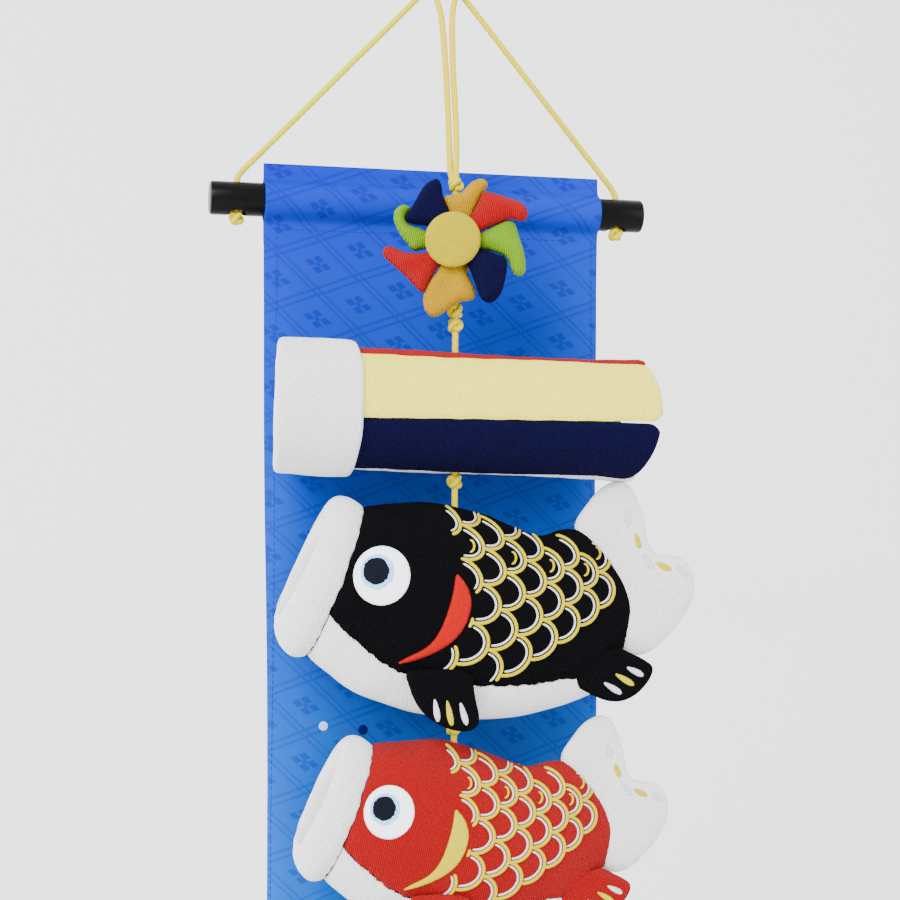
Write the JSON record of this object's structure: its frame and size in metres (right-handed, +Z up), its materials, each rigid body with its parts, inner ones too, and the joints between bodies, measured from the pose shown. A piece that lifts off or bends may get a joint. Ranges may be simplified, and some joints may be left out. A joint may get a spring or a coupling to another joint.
{
  "type": "carp streamer wall hanging",
  "caption": "Cloth banner on two rods, hung by a cord, with a stuffed pinwheel, a striped streamer tube and padded carps on a cord down its front.",
  "frame": {"origin": "the point on the wall hook that the hanging cord loops over", "axes": "+X along the rods, +Y towards the wall, +Z up; the carps' mouths point to -X and the front of the banner faces -Y"},
  "size_m": [0.2097, 0.0728, 0.5549],
  "materials": {
    "rod_black": "satin black lacquer over turned wood",
    "banner_blue": "satin damask cloth, blue shading to azure",
    "cord_yellow": "fine braided cord",
    "crepe_orange": "crepe knit, stuffed",
    "crepe_red": "crepe knit, stuffed",
    "crepe_green": "crepe knit, stuffed",
    "crepe_navy": "crepe knit, stuffed",
    "crepe_yellow": "crepe over a button",
    "crepe_pale_yellow": "crepe knit, padded",
    "crepe_white": "white crepe knit, padded",
    "knit_black": "black knit with embroidery",
    "knit_red": "red knit with embroidery",
    "knit_blue": "blue knit with embroidery"
  },
  "bodies": {
    "hanger": {"top_rod": "rod_black", "bottom_rod": "rod_black", "banner": "banner_blue", "hanging_cord": "cord_yellow", "left_end_knot": "cord_yellow", "right_end_knot": "cord_yellow"},
    "drop_chain": {"drop_cord": "cord_yellow", "top_knot": "cord_yellow", "pinwheel_knot": "cord_yellow", "streamer_top_knot": "cord_yellow", "streamer_knot": "cord_yellow", "black_carp_knot": "cord_yellow", "red_carp_knot": "cord_yellow", "blue_carp_knot": "cord_yellow"},
    "pinwheel": {"petal_1_orange": "crepe_orange", "petal_2_red": "crepe_red", "petal_3_green": "crepe_green", "petal_4_navy": "crepe_navy", "petal_5_orange": "crepe_orange", "petal_6_red": "crepe_red", "petal_7_green": "crepe_green", "petal_8_navy": "crepe_navy", "front_button": "crepe_yellow", "back_button": "crepe_orange"},
    "streamer": {"streamer_cuff": "crepe_white", "stripe_red": "crepe_red", "stripe_yellow": "crepe_pale_yellow", "stripe_navy": "crepe_navy", "stripe_white": "crepe_white", "stripe_green": "crepe_green"},
    "black_carp": {"black_carp_body": "knit_black", "black_carp_belly": "crepe_white", "black_carp_mouth": "crepe_white", "black_carp_tail": "crepe_white", "black_carp_front_pectoral_fin": "knit_black", "black_carp_rear_pectoral_fin": "knit_black", "black_carp_front_anal_fin": "knit_black", "black_carp_rear_anal_fin": "knit_black"},
    "red_carp": {"red_carp_body": "knit_red", "red_carp_belly": "crepe_white", "red_carp_mouth": "crepe_white", "red_carp_tail": "crepe_white", "red_carp_front_pectoral_fin": "knit_red", "red_carp_rear_pectoral_fin": "knit_red", "red_carp_front_anal_fin": "knit_red", "red_carp_rear_anal_fin": "knit_red"},
    "blue_carp": {"blue_carp_body": "knit_blue", "blue_carp_belly": "crepe_white", "blue_carp_mouth": "crepe_white", "blue_carp_tail": "crepe_white", "blue_carp_front_pectoral_fin": "knit_blue", "blue_carp_rear_pectoral_fin": "knit_blue", "blue_carp_front_anal_fin": "knit_blue", "blue_carp_rear_anal_fin": "knit_blue"}
  },
  "joints": [
    {"name": "chain_swing", "type": "hinge", "parent": "hanger", "child": "drop_chain", "pos_m": [0, -0.0033, 0], "axis": [-1, 0, 0], "range_deg": [0, 18]},
    {"name": "pinwheel_turn", "type": "hinge", "parent": "drop_chain", "child": "pinwheel", "pos_m": [0, -0.027, -0.127], "axis": [0, 0, 1], "range_deg": [-23, 47]},
    {"name": "streamer_turn", "type": "hinge", "parent": "drop_chain", "child": "streamer", "pos_m": [0, -0.027, -0.2005], "axis": [0, 0, 1], "range_deg": [-2.5, 2.5]},
    {"name": "black_carp_turn", "type": "hinge", "parent": "drop_chain", "child": "black_carp", "pos_m": [0, -0.027, -0.285], "axis": [0, 0, 1], "range_deg": [-5, 5]},
    {"name": "red_carp_turn", "type": "hinge", "parent": "drop_chain", "child": "red_carp", "pos_m": [0, -0.027, -0.383], "axis": [0, 0, 1], "range_deg": [-8, 8]},
    {"name": "blue_carp_turn", "type": "hinge", "parent": "drop_chain", "child": "blue_carp", "pos_m": [0, -0.027, -0.47], "axis": [0, 0, 1], "range_deg": [-12, 12]}
  ]
}
